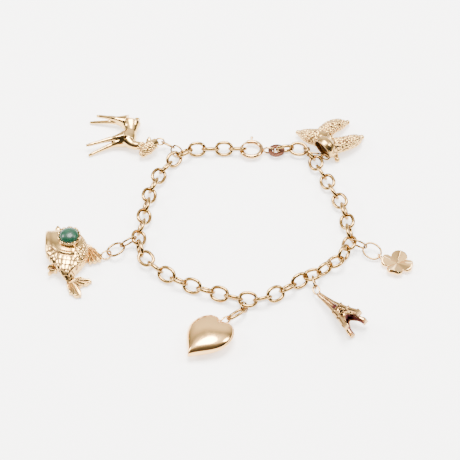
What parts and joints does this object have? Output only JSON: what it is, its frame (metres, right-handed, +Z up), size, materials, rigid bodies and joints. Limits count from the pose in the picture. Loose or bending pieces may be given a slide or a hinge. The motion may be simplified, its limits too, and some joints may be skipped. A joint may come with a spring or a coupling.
{
  "type": "charm bracelet",
  "caption": "Gold cable chain bracelet with a spring ring clasp, a bare hallmark tag and cast charms hung on jump rings: fawn, jester cap, clover, lattice tower, heart and fish",
  "frame": {"origin": "middle of the footprint, on the surface that the bracelet lies on", "axes": "+Z up; +X to the right of the picture, along the bracelet's longest extent; +Y away from the viewer, towards the clasp"},
  "size_m": [0.0992, 0.0856, 0.0083],
  "materials": {
    "gold": "polished 18 carat yellow gold, textured on the cast charms",
    "rose": "satin rose gold",
    "stone": "polished green cabochon"
  },
  "bodies": {
    "root": {"clasp_ring": "gold", "tag": "rose", "chain": "gold", "heart_jump_ring": "gold", "heart_link": "gold", "heart": "gold", "clover_small_ring": "gold", "clover_ring": "gold", "clover": "gold", "tower_ring": "gold", "tower": "gold", "cap_small_ring": "gold", "cap_ring": "gold", "cap": "gold", "deer_jump_ring": "gold", "deer_link": "gold", "deer": "gold", "fish_loop": "gold", "fish_jump_ring": "gold", "fish": "gold", "fish_stone": "stone"},
    "clasp_bolt": {"clasp_bolt": "gold"}
  },
  "joints": [
    {"name": "clasp_bolt", "type": "hinge", "parent": "root", "child": "clasp_bolt", "pos_m": [0.00644, 0.03, 0.00155], "axis": [0, 0, -1], "range_deg": [0, 50]}
  ]
}
